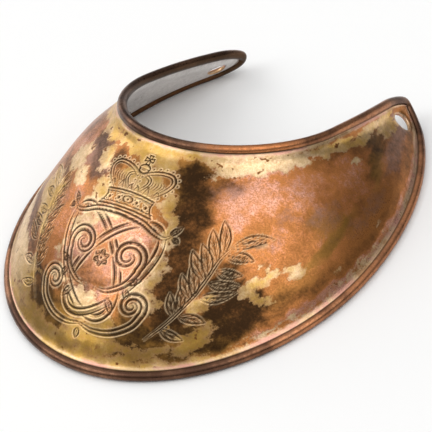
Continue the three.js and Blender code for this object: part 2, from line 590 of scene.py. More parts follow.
def spiral(centre, outer, inner, start, turns, steps=46):
    """A line that winds in from the outer radius, from its start in degrees."""
    share = np.linspace(0, 1, steps)
    angle = math.radians(start) + 2 * math.pi * turns * share
    radius = outer + (inner - outer) * share ** 0.8
    return np.stack([centre[0] + radius * np.cos(angle), centre[1] + radius * np.sin(angle)], -1)


def ring(centre, long, short, tilt, steps=90):
    """An ellipse whose long half axis leans by the tilt in degrees."""
    angle = np.linspace(0, 2 * math.pi, steps)
    lean = math.radians(tilt)
    x, y = short * np.cos(angle), long * np.sin(angle)
    return np.stack([centre[0] + x * math.cos(lean) + y * math.sin(lean),
                     centre[1] - x * math.sin(lean) + y * math.cos(lean)], -1)


def mirrored(line, middle):
    return np.stack([2 * middle - line[:, 0], line[:, 1]], -1)


def cut(line, half_width=FINE_CUT, depth=1.0, taper=True):
    """One line of the graver, thin at both ends."""
    swell = np.ones(len(line))
    if taper:
        swell = np.sqrt(np.sin(math.pi * (0.06 + 0.88 * np.linspace(0, 1, len(line)))))
    return {"line": line, "half": half_width * swell, "depth": depth * swell}


def dot(x, y, half_width=DOT_CUT):
    return cut(np.array([(x - 0.01, y), (x + 0.01, y)]), half_width, 1.1, False)


def both_sides(cuts, middle):
    return cuts + [{**c, "line": mirrored(c["line"], middle)} for c in cuts]


def leaf(base, tip, bulge, bend=0.0, veins=3):
    """A laurel leaf: two curved sides, a midrib and long slanting veins, one half finer."""
    base, tip = np.array(base, float), np.array(tip, float)
    along = tip - base
    across = np.array([-along[1], along[0]]) / np.linalg.norm(along)
    share = np.linspace(0, 1, 17)
    width = bulge * np.sin(math.pi * share ** 0.85) ** 0.9
    spine = base + along * share[:, None] + across * (bend * np.sin(math.pi * share))[:, None]
    cuts = [cut(spine + across * (side * width)[:, None], 0.31, 0.95) for side in (-1, 1)]
    cuts.append(cut(spine[:14], 0.27, 0.75))
    for side, count in ((-1, veins), (1, veins)):
        for vein in range(count):
            start = 2 + round(8 * vein / count)
            end = start + 6
            stop = spine[end] + across * side * width[end] * 0.8
            cuts.append(cut(np.linspace(spine[start] + across * side * 0.12, stop, 6), 0.23, 0.6))
    return cuts, (spine, width)


def leaves_over_each_other(table):
    """Leaves from a table of base, tip, half width, bend; each hides what comes after it."""
    cuts, bodies = [], []
    for base, tip, bulge, bend in table:
        fresh, body = leaf(base, tip, bulge, bend, 3 if bulge > 1.22 else 2)
        for item in fresh:
            line = item["line"]
            hidden = np.zeros(len(line), bool)
            for spine, width in bodies:
                gap = np.linalg.norm(line[:, None] - spine[None], axis=2)
                hidden |= gap.min(1) < width[gap.argmin(1)] * 0.95
            for part in shown_parts(line, hidden):
                cuts.append(cut(part, item["half"].max(), item["depth"].max()))
        bodies.append(body)
    return cuts


LAUREL_STEM = [(17.6, 54.2), (21.3, 49.4), (24.0, 44.5), (26.0, 40.0), (27.4, 34.5), (28.4, 29.2),
               (30.2, 25.2)]

# Leaves of the right spray: base, tip, half width, bend
LAUREL_LEAVES = [
    ((30.0, 25.6), (40.2, 22.2), 1.8, -0.9),
    ((29.7, 28.2), (37.4, 29.2), 1.35, -0.5),
    ((28.7, 32.6), (36.0, 33.6), 1.3, 0.4),
    ((28.1, 36.4), (36.2, 36.4), 1.25, 0.4),
    ((27.2, 40.7), (36.4, 38.7), 1.4, 0.6),
    ((24.2, 46.6), (31.4, 47.6), 1.15, -0.3),
    ((28.6, 27.6), (25.1, 17.6), 1.3, 0.5),
    ((28.0, 30.0), (23.3, 20.6), 1.25, -0.2),
    ((27.3, 34.6), (22.3, 25.2), 1.3, 0.5),
    ((26.9, 35.6), (20.7, 27.6), 1.2, -0.4),
    ((26.0, 40.4), (21.8, 31.8), 1.2, 0.4),
    ((25.5, 41.6), (20.6, 34.6), 1.1, -0.3),
    ((23.8, 45.4), (21.6, 37.8), 1.0, 0.3),
    ((22.8, 46.6), (19.6, 40.2), 1.0, -0.2),
    ((20.6, 50.6), (27.6, 53.0), 1.0, 0.3),
]


def laurel_spray():
    stem = curve(LAUREL_STEM)
    side = sideways(stem)
    cuts = [cut(stem + side * 0.32, 0.28), cut(stem - side * 0.32, 0.28)]
    cuts += leaves_over_each_other(LAUREL_LEAVES)
    return both_sides(cuts, ORNAMENT_MIDDLE)


def crown():
    """A crown: a jewelled band, arches with pearls, lined caps, orb and cross."""
    middle = ORNAMENT_MIDDLE
    half = []
    arch = curve([(-7.6, 15.9), (-10.6, 13.2), (-11.9, 10.2), (-10.6, 7.9), (-7.6, 7.5), (-4.2, 8.4),
                  (-1.9, 10.0)])
    out = sideways(arch)
    half += [cut(arch, 0.34), cut(arch + out * 0.95, 0.26)]
    for spot in arch[4:-6:5] - out[4:-6:5] * 0.75:
        half.append(dot(*spot, 0.34))
    inner = curve([(-3.6, 15.0), (-5.2, 12.6), (-5.0, 10.6), (-3.2, 9.6)])
    half += [cut(inner), cut(inner + sideways(inner) * 0.7)]
    for share in (0.12, 0.3, 0.48, 0.66, 0.84):
        x = -9.6 + 4.6 * share
        half.append(cut(curve([(x, 10.2 + 0.9 * abs(share - 0.5)), (x - 0.3, 12.0),
                               (x + 0.5, 13.8 - 1.2 * abs(share - 0.5))]), 0.22, 0.7))
    for x in (-8.6, -5.6, -2.6):
        leaf_top = 13.6 if x != -5.6 else 13.0
        half.append(cut(curve([(x - 0.8, 15.6), (x - 0.5, 14.4), (x, leaf_top), (x + 0.5, 14.4),
                               (x + 0.8, 15.4)]), 0.22, 0.8))
    for y, half_width in ((15.7, 0.32), (16.5, 0.22), (19.5, 0.22), (20.5, 0.36)):
        reach = 7.4 + 0.28 * max(y - 16.5, 0)
        band = [(middle - reach, y + 0.95), (middle - reach * 0.5, y + 0.25), (middle, y)]
        half.append(cut(curve(band), half_width, 1.0, False))
    half.append(cut(curve([(-8.9, 16.7), (-8.5, 18.8), (-9.8, 21.4)]), 0.32))
    for x, y in ((-7.4, 18.9), (-4.4, 18.2)):
        half.append(dot(x, y, 0.5))
        for turn in (45, 135, 225, 315):
            angle = math.radians(turn)
            half.append(dot(x + 1.05 * math.cos(angle), y + 0.95 * math.sin(angle), 0.27))
    cuts = both_sides(half, middle)
    cuts += [cut(ring((middle, 18.0), 0.95, 1.5, 0, 24), 0.24, 1.0, False), dot(middle, 18.0, 0.4),
             cut(np.array([(middle, 15.0), (middle, 10.2)]), 0.24)]
    for y in (10.6, 12.0, 13.4):
        cuts += [dot(middle - 0.75, y, 0.3), dot(middle + 0.75, y, 0.3)]
    cuts += [cut(ring((middle, 8.2), 1.35, 1.6, 0, 30), 0.3, 1.0, False),
             cut(np.array([(middle - 1.5, 8.1), (middle + 1.5, 8.1)]), 0.22)]
    arm = 1.35
    for turn in (0, 90, 180, 270):
        angle = math.radians(turn)
        way = np.array([math.cos(angle), math.sin(angle)])
        wide = np.array([-way[1], way[0]])
        centre = np.array([middle, 5.3])
        outline = [centre + wide * 0.16, centre + way * arm + wide * 0.6,
                   centre + way * arm - wide * 0.6, centre - wide * 0.16]
        cuts.append(cut(np.array(outline), 0.26, 1.0, False))
    return cuts


def ribbon(line, width, height, closed=False):
    """A band of the scrollwork; where two bands cross, the higher one hides the other."""
    share = np.linspace(0, 1, len(line))
    swell = np.ones(len(line)) if closed else 0.3 + 0.7 * np.sin(math.pi * share) ** 0.7
    return {"line": line, "wide": width * swell, "height": height, "closed": closed}


def scroll_ribbons():
    """Scrollwork: two leaning rings linked through each other, with C-scrolls below, inner
    curls above and a swash under the crown."""
    middle = SCROLL_MIDDLE
    left_ring = ring((middle - 3.4, 37.4), 16.4, 8.2, 33)
    right_ring = mirrored(left_ring, middle)
    turn = [np.arctan2(r[:, 1] - 37.6, r[:, 0] - middle) for r in (left_ring, right_ring)]
    ribbons = [ribbon(left_ring, 1.7, np.cos(2 * turn[0]), True),
               ribbon(right_ring, 1.7, -np.cos(2 * turn[1]), True)]
    low_scroll = np.concatenate([
        curve([(middle, 54.4), (-6.4, 55.2), (-12.0, 54.4), (-16.8, 51.4), (-18.8, 47.4)])[:-1],
        spiral((-15.2, 46.0), 3.8, 0.6, 158, 1.35)])
    curl = np.concatenate([
        curve([(-3.6, 44.0), (-7.4, 43.6), (-11.6, 40.6), (-13.6, 36.4)])[:-1],
        spiral((-9.4, 33.2), 5.0, 0.8, 142, 1.35)])
    for line, level in ((low_scroll, -2.0), (curl, 2.0)):
        for side in (line, mirrored(line, middle)):
            ribbons.append(ribbon(side, 1.55, np.full(len(side), level)))
    swash = curve([(-18.4, 24.4), (-16.4, 25.8), (-13.4, 25.0), (-9.0, 22.9), (middle, 22.0),
                   (5.0, 22.9), (9.4, 25.0), (12.4, 25.8), (14.4, 24.4)], steps=12)
    ribbons.append(ribbon(swash, 1.3, np.full(len(swash), 3.0)))
    return ribbons


def shown_parts(line, hidden):
    """The runs of a line that no other ribbon covers."""
    parts, run = [], []
    for spot, covered in zip(line, hidden):
        if covered:
            if len(run) > 2:
                parts.append(np.array(run))
            run = []
        else:
            run.append(spot)
    if len(run) > 2:
        parts.append(np.array(run))
    return parts


def scrollwork():
    ribbons = scroll_ribbons()
    cuts = []
    for item in ribbons:
        side = sideways(item["line"])
        for share in (-0.5, 0.5, 0.18 if item["closed"] else 0.2):
            line = item["line"] + side * (share * item["wide"])[:, None]
            hidden = np.zeros(len(line), bool)
            for other in ribbons:
                if other is item:
                    continue
                gap = np.linalg.norm(line[:, None] - other["line"][None], axis=2)
                nearest = gap.argmin(1)
                inside = gap.min(1) < other["wide"][nearest] * 0.56
                hidden |= inside & (other["height"][nearest] > item["height"])
            outline = abs(share) == 0.5
            for part in shown_parts(line, hidden):
                cuts.append(cut(part, MAIN_CUT if outline else FINE_CUT, 1.0 if outline else 0.6))
    return cuts + flourishes()


def flourishes():
    """Small leaves where the scrolls end and in the rings, with a drop below."""
    middle = SCROLL_MIDDLE
    half = []
    for base, tip, bulge in (((-17.6, 24.8), (-20.0, 21.8), 0.7), ((-18.2, 25.2), (-20.6, 26.6), 0.6),
                             ((-11.6, 40.6), (-15.6, 38.6), 0.8), ((-11.8, 41.6), (-13.0, 45.0), 0.8),
                             ((-7.6, 45.6), (-10.4, 49.6), 0.8)):
        half += leaf(base, tip, bulge, 0.2, 2)[0]
    cuts = both_sides(half, middle)
    for turn in range(6):
        angle = math.radians(60 * turn + 30)
        way = np.array([math.cos(angle), math.sin(angle)])
        centre = np.array([middle, 35.6])
        cuts += leaf(centre + way * 0.7, centre + way * 2.5, 0.55, 0.0, 0)[0]
    cuts.append(dot(middle, 35.6, 0.5))
    cuts += leaf((middle, 55.8), (middle, 58.6), 0.7, 0.0, 0)[0]
    return cuts


# Wear and tarnish, placed one by one. Each row: along and across in hundredths, half length and
# half height in millimetres, strength and, where the patch leans, its lean in degrees. A
# negative strength takes away.

GILT_PATCHES = [
    (8, 86, 3, 2.6, 0.7), (0, 0, 84, 2.6, 1), (-30, 99, 66, 3.4, 1), (62, 97, 30, 0.8, 0.55),
    (100, 40, 4, 6, 0.7), (-62, 8, 24, 3.2, 1), (-34, 7, 12, 3, 1), (-12, 5, 14, 2.4, 1),
    (0, 6, 13, 4.4, 1), (27, 7, 11, 3.3, 1), (42, 7.5, 13, 3.1, 1), (56, 7.5, 13, 3.1, 1),
    (70, 8, 12, 3.2, 1), (80, 11, 5, 3.6, 1, 20), (85, 17, 3.2, 5, 0.95), (79, 31, 2, 2.4, 1, -30),
    (95, 26, 4.5, 13, 0.8), (93, 12, 8, 4.5, 0.9), (-22, 17, 4.6, 3.8, 1, 15),
    (-13.5, 30, 3.6, 5.8, 1, 25), (-8, 37.5, 6.5, 2.4, 0.9, -12), (12.5, 27, 3, 4.4, 0.9),
    (15, 40, 1.7, 9, 0.8), (14.4, 57, 2.4, 7, 0.85, 12), (10.5, 66, 4.4, 2.8, 0.9),
    (0, 20, 12, 5.5, 0.75), (-37, 28, 6.5, 6.5, 1, 30), (-28, 32, 5, 3, 1, 15),
    (-38, 56, 8.5, 9, 0.95), (-33, 62, 6, 5, 0.8), (-60, 82, 20, 9, 0.95), (-36, 87, 17, 6.6, 1),
    (-22, 84, 7, 5.5, 1), (-12, 91, 12, 3.2, 1), (0, 90, 13, 3.8, 1), (5, 84, 4.5, 4, 1),
    (-3, 77, 5.5, 5, 0.95), (13, 91.5, 10, 2.2, 0.8), (14, 73, 4.2, 3.2, 0.8),
    (24, 87, 6.6, 4.4, 1), (27, 73, 3.4, 2.8, 0.85), (37.6, 73, 1.9, 5, 1, -28),
    (39.5, 68.5, 3, 1.5, 0.95), (42.5, 64.5, 1.7, 2.6, 1, -20), (48.2, 70.5, 4, 2, 1, 35),
    (41, 79, 1.4, 2.2, 0.7), (-14, 47, 3.6, 5, 0.75, 20), (-13, 71, 3.4, 2.6, 0.7),
    (-17, 62, 1.6, 3.4, 0.7), (44, 94.6, 10, 0.9, 0.6), (62, 93, 16, 1.6, 0.46),
    (80, 93, 10, 0.7, 0.4), (59, 86, 3, 1, 0.45), (74, 83, 1.6, 1.6, 0.4), (-17, 9, 8, 0.8, -1, 6),
    (18, 8.6, 6.4, 2.6, -1), (65, 10, 3.4, 1, -0.8), (83.4, 13, 1.4, 1.4, -0.8),
    (-15, 83, 6, 4.2, -0.95, 8), (-8, 88.5, 3.4, 1.8, -0.9), (-19.5, 79, 2.4, 1.2, -1),
    (22.5, 84, 4.2, 1.5, -1, -18), (19, 88.5, 3, 1.2, -0.9, 10), (13, 82, 6, 4.2, -0.9),
    (-46, 20, 7, 7, -0.8), (-36, 72, 12, 3.4, -0.8), (30, 78, 1.6, 5, -0.7),
]

# Tarnish, with one band and one streak that are partly a painted dark reflection and painted shade.
TARNISH_SHADE_AND_DARK_REFLECTION_PATCHES = [
    (12.5, 50, 4, 12, 0.42), (0, 20, 10, 7, 0.34), (-7, 69, 9, 8, 0.5), (33, 74, 5, 6, 1),
    (28, 89, 9, 2.4, 0.6), (24, 60, 3, 8, 0.6, 15), (-2, 94, 7, 1.8, 0.8), (11, 91, 8, 2.8, 0.85),
    (19, 77, 5, 8, 0.9), (14, 84, 5, 3.6, 0.8), (-22, 77, 5, 2, 0.8, -20),
    (-28, 90, 4, 1.2, 0.5, 10), (31, 70, 4.4, 11, 1, 10), (17, 62, 4.4, 9, 0.85),
    (7, 84, 6, 4, 0.7), (27, 80, 5, 6, 0.6), (37, 84, 6, 5, 1, -20), (5, 95, 26, 2.4, 0.5),
    # The rows at along 18 to 20, across 12 to 68, lay a band from the neck down: partly tarnish,
    # partly a painted dark reflection.
    (-12, 94, 16, 1.6, 0.55), (24, 93, 10, 2, 0.7), (30, 91, 5, 2.6, 0.8), (18, 12, 8, 4.6, 0.95),
    (20, 30, 6.8, 15, 0.88), (19, 50, 5.2, 14, 0.84), (18, 68, 4.2, 8, 0.6),
    (29, 15.5, 8, 2.2, 0.5), (13, 36, 4.5, 7.5, 0.35), (-30, 15, 10, 3.8, 0.66, 12),
    (-22, 23, 8, 3.6, 0.58, 20), (-16, 14, 4.5, 2.6, 0.6, 30), (-48, 18, 8, 7, 0.36),
    (-40, 41, 9, 2.8, 0.55), (-37, 73, 14, 4.6, 0.62), (-15, 83, 7, 4.6, 0.75, 8),
    (-8, 88.5, 4.2, 2, 0.7), (12, 79, 7, 6, 0.6), (22.5, 84.5, 6, 3, 0.8, -10),
    (29.6, 72, 3, 7.5, 0.95, 10), (34, 84, 5.6, 6.6, 0.95, -20), (36.5, 78, 4, 6.4, 0.9, -25),
    (31, 63, 6.5, 6, 0.62), (39.5, 74.5, 1.8, 3.2, 0.95), (43, 84, 9, 3.8, 0.5),
    (55, 85, 13, 3, 0.42), (72, 86, 14, 3, 0.36), (74, 56, 6, 9, 0.12, 20),
    # The rows at along 85 and 88 lay a streak: partly tarnish, partly painted shade.
    (85, 38, 2.6, 12, 0.5, 24), (88, 30, 4, 12, 0.6, 8), (80, 15, 5, 2.4, 0.5, 20),
    (79, 53, 2.6, 6, 0.4, 35), (70, 61, 2.4, 6.5, 0.28, 62), (58, 69, 2, 6, 0.28, 68),
    (92, 68, 10, 16, 0.4), (79, 62, 3, 8, 0.2, 20), (83, 22, 6, 6, 0.35), (76, 14, 8, 3.4, 0.4),
    (-70, 45, 8, 16, 0.5), (-86, 60, 9, 16, 0.45), (105, 70, 20, 20, 0.3), (-105, 60, 20, 20, 0.35),
]

# Blush: partly rubbed copper, partly a painted highlight, as along the neck edge and the rim on the
# right.
BLUSH_PATCHES = [
    (62, 93, 26, 2.4, 0.9), (90, 92, 16, 2.4, 0.85), (-42, 86, 16, 8, 0.75),
    (70, 100, 30, 1.6, 0.62), (42, 0, 22, 2, 1), (82, 0, 20, 2, 0.5), (46, 8, 22, 4, 1),
    (-90, 100, 30, 2.2, 0.8), (110, 45, 12, 14, 1), (-40, 22, 12, 9, 0.8), (-2, 50, 17, 13, 1),
    (-8, 66, 12, 7, 0.85), (-23, 48, 7, 11, 0.6), (-28, 26, 10, 8, 0.35), (39, 27, 13, 10, 0.95),
    (54, 34, 16, 14, 0.74), (74, 44, 14, 13, 0.56), (90, 62, 10, 11, 0.55), (46, 52, 11, 9, 0.6),
    (62, 50, 13, 13, 0.5), (54, 68, 12, 6, 0.5), (70, 26, 10, 9, 0.55), (78, 48, 7, 10, 0.4),
    (-60, 36, 13, 11, 0.75), (-78, 26, 9, 9, 0.6), (-66, 62, 9, 8, 0.5), (2, 72, 4, 8, 0.8),
]

# Olive: partly stain, partly painted shade, as in the row at the neck edge (along 9).
OLIVE_PATCHES = [
    (9, 5, 19, 4.8, 0.6), (0, 22, 12, 8, 0.6), (60, 57, 4, 9, 0.5, -28), (-38, 58, 8, 7, 0.4),
    (0, 88, 26, 7, 0.9), (-20, 92, 16, 5, 0.5), (24, 92, 12, 3.5, 0.8), (61, 66, 9, 2.6, 0.9, -28),
    # The rows at along 83 and 88 lay a streak: partly olive stain, partly painted shade.
    (54, 72, 5, 2.4, 0.7, -20), (47, 80, 7, 3, 0.3), (83, 47, 2.4, 10, 0.8, 24),
    (88, 30, 2.6, 6, 0.6, 10), (28, 86, 6, 5, 0.8), (13, 91, 9, 2.6, 0.5), (3, 7, 9, 2, 0.5),
    (14, 22, 4, 5, 0.6), (-66, 70, 8, 3, 0.6, 20),
]


HAZE_PATCHES = [
    (-4, 60, 12, 12, 0.4), (-26, 19, 11, 5.5, 0.9, 10), (-20, 40, 4, 6, 0.4), (99, 42, 7, 17, 0.9),
    (90, 58, 6, 10, 0.7, 20), (60, 50, 6.5, 6, 0.42), (49, 38, 3.6, 4, 0.4), (43, 50, 5, 4, 0.35),
    (72, 70, 8, 5, 0.4), (-62, 25, 14, 10, 0.6), (-80, 42, 12, 14, 0.6), (-30, 48, 5, 6, 0.4),
    (30, 19, 9, 2.6, 0.5), (-104, 50, 12, 18, 0.7),
]


PATCHES = {
    "gilding": GILT_PATCHES,
    "tarnish": TARNISH_SHADE_AND_DARK_REFLECTION_PATCHES,
    "blush": BLUSH_PATCHES,
    "olive": OLIVE_PATCHES,
    "haze": HAZE_PATCHES,
}


def patch_field(along, across, patches):
    """How far each place is covered by the patches, from 0 to 1, their outlines wavering."""
    field = np.zeros(len(along))
    high = across * SHEET_HEIGHT
    far = along * 100
    waver_along = (0.9 * np.sin(0.83 * high + 1.1 * np.sin(0.37 * far))
                   + 0.5 * np.sin(1.9 * high + 0.7 * far))
    waver_high = (0.8 * np.sin(0.71 * far + 1.3 * np.sin(0.43 * high))
                  + 0.45 * np.sin(1.7 * far - 0.9 * high))
    for row_along, row_across, half_length, half_height, strength, *lean in patches:
        x = far + waver_along - row_along
        y = high + waver_high - row_across / 100 * SHEET_HEIGHT
        turn = math.radians(sum(lean))
        far_x = (x * math.cos(turn) + y * math.sin(turn)) / half_length
        far_y = (y * math.cos(turn) - x * math.sin(turn)) / half_height
        cover = 1 - smooth(np.hypot(far_x, far_y), 0.55, 1.45)
        if strength > 0:
            field = np.maximum(field, strength * cover)
        else:
            field = field * (1 + strength * cover)
    return field


# Materials

class Nodes:
    """Adds nodes to one tree, with their inputs linked or set."""

    def __init__(self, tree):
        self.tree = tree

    def feed(self, socket, value):
        """Gives a socket another node's output or a plain value."""
        if isinstance(value, bpy.types.NodeSocket):
            self.tree.links.new(value, socket)
        else:
            socket.default_value = value

    def add(self, kind, settings=None, **inputs):
        """A node; inputs are named by their sockets, with _ for a space, or by number as i0."""
        made = self.tree.nodes.new(kind)
        for name, value in (settings or {}).items():
            setattr(made, name, value)
        for name, value in inputs.items():
            numbered = name[0] == "i" and name[1:].isdigit()
            self.feed(made.inputs[int(name[1:]) if numbered else name.replace("_", " ")], value)
        return made

    def maths(self, operation, first, second=0.0, third=0.0):
        return self.add("ShaderNodeMath", {"operation": operation}, i0=first, i1=second,
                        i2=third).outputs[0]

    def times(self, first, second):
        return self.maths("MULTIPLY", first, second)

    def total(self, value, *rows):
        """A value with others added to it, each row an addition and its weight."""
        for addition, weight in rows:
            value = self.maths("MULTIPLY_ADD", addition, weight, value)
        return value

    def strayed(self, value, noise, amount):
        """A value that noise carries up and down by half the amount."""
        return self.total(value, (self.maths("SUBTRACT", noise, 0.5), amount))

    def lack(self, mask, amount):
        """The amount where the mask is 0, and nothing where it is 1."""
        return self.times(self.maths("SUBTRACT", 1.0, mask), amount)

    def ramp(self, value, low, high, to_low=0.0, to_high=1.0):
        return self.add("ShaderNodeMapRange", {"interpolation_type": "SMOOTHSTEP"}, Value=value,
                        From_Min=low, From_Max=high, To_Min=to_low, To_Max=to_high).outputs[0]

    def attribute(self, name):
        return self.add("ShaderNodeAttribute", {"attribute_name": name}).outputs["Fac"]

    def noise(self, scale, detail, rough, stretch=None, turn=(0, 0, 0)):
        place = self.add("ShaderNodeTexCoord").outputs["Object"]
        if stretch:
            place = self.add("ShaderNodeMapping", None, Vector=place, Scale=stretch,
                             Rotation=turn).outputs[0]
        return self.add("ShaderNodeTexNoise", None, Vector=place, Scale=scale, Detail=detail,
                        Roughness=rough).outputs["Fac"]

    def group(self, tree, **inputs):
        return self.add("ShaderNodeGroup", {"node_tree": tree}, **inputs).outputs

    def mix(self, share, first, second):
        """Mixes two colours, each a node's output or three numbers."""
        made = self.add("ShaderNodeMix", {"data_type": "RGBA"}, i0=share)
        for socket, value in zip(made.inputs[6:8], (first, second)):
            self.feed(socket, value if isinstance(value, bpy.types.NodeSocket) else (*value, 1.0))
        return made.outputs[2]

    def layers(self, colour, *rows):
        """Lays colours over a first one, each row the share that covers and the colour."""
        for share, over in rows:
            colour = self.mix(share, colour, over)
        return colour


def new_group(name, inputs, outputs):
    """A node group of numbers; inputs have their defaults. Gives its nodes, inputs, outputs."""
    tree = bpy.data.node_groups.new(name, "ShaderNodeTree")
    for label, default in inputs.items():
        socket = tree.interface.new_socket(label, in_out="INPUT", socket_type="NodeSocketFloat")
        socket.default_value = default
    for label in outputs:
        tree.interface.new_socket(label, in_out="OUTPUT", socket_type="NodeSocketFloat")
    given = tree.nodes.new("NodeGroupInput").outputs
    return Nodes(tree), given, tree.nodes.new("NodeGroupOutput").inputs


def ragged_patch_group():
    """A smooth field made into a patch with a ragged, flaking border that wear has drawn out
    sideways. Depth tells how far a place lies inside the patch."""
    n, given, out = new_group(
        "Ragged Patch", {"Field": 0.0, "Scale": 300.0, "Raggedness": 0.5, "Softness": 0.04},
        ("Mask", "Depth"))
    coarse = n.noise(given["Scale"], 6.0, 0.7)
    streaks = n.noise(n.times(given["Scale"], 1.6), 4.0, 0.65, (0.55, 0.55, 1.7))
    fine = n.noise(n.times(given["Scale"], 5.3), 3.0, 0.6)
    wander = n.strayed(n.maths("SUBTRACT", coarse, 0.5), streaks, 0.7)
    wander = n.strayed(wander, fine, 0.55)
    field = n.total(given["Field"], (wander, given["Raggedness"]))
    low = n.maths("SUBTRACT", 0.5, given["Softness"])
    high = n.maths("ADD", 0.5, given["Softness"])
    n.feed(out["Mask"], n.ramp(field, low, high))
    n.feed(out["Depth"], n.ramp(field, 0.45, 1.05))
    return n.tree


def pitting_group():
    """Small dark pits that come in clusters."""
    n, given, out = new_group("Pitting", {"Scale": 900.0, "Amount": 0.5}, ("Mask",))
    spots = n.noise(given["Scale"], 2.0, 0.5)
    clusters = n.noise(n.times(given["Scale"], 0.16), 3.0, 0.6)
    edge = n.maths("SUBTRACT", 1.02, n.times(given["Amount"], 0.28))
    level = n.total(spots, (clusters, 0.34))
    n.feed(out["Mask"], n.ramp(level, edge, n.maths("ADD", edge, 0.08)))
    return n.tree


def rubbed_grain_group():
    """The fine mottled grain of old rubbed metal, with short polishing lines."""
    n, given, out = new_group("Rubbed Grain", {"Scale": 1500.0},
                              ("Grain", "Lines", "Cloud", "Blotch"))
    for label, finer, look in (("Grain", 1.0, (3.0, 0.75)),
                               ("Blotch", 0.2, (6.0, 0.72)),
                               ("Lines", 0.3, (3.0, 0.65, (0.22, 1.6, 1.6), (0.5, 0.6, 0.9))),
                               ("Cloud", 0.055, (4.0, 0.6))):
        n.feed(out[label], n.noise(n.times(given["Scale"], finer), *look))
    return n.tree


def toned(colour, strength):
    return [part * strength for part in colour]


